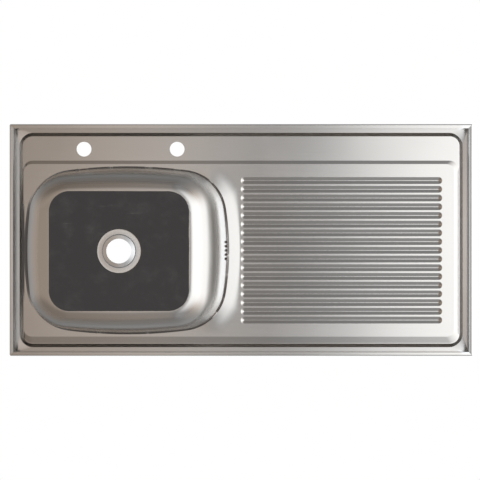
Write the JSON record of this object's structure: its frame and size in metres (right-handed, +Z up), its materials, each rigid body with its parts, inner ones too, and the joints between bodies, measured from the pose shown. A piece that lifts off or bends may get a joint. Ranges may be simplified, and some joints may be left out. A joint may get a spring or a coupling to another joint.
{
  "type": "kitchen sink",
  "caption": "Sit-on kitchen sink in pressed stainless steel, with a deep bowl, a ribbed drainer, tap holes on a raised ledge and a pad under the bowl.",
  "frame": {"origin": "middle of the sink, in the plane of the folded lips that rest on the cabinet", "axes": "+X from the drainer towards the bowl, +Y towards the wall and the tap ledge, +Z up as the sink is used"},
  "size_m": [1, 0.5, 0.1628],
  "materials": {
    "stainless_deck": "rolled satin sheet, soft grain along the length",
    "stainless_bowl": "drawn satin sheet, concentric grain on the waste seat",
    "damping_pad": "matt, slightly dusty"
  },
  "bodies": {
    "root": {"deck": "stainless_deck", "bowl": "stainless_bowl", "anti_drumming_pad": "damping_pad"}
  },
  "joints": []
}
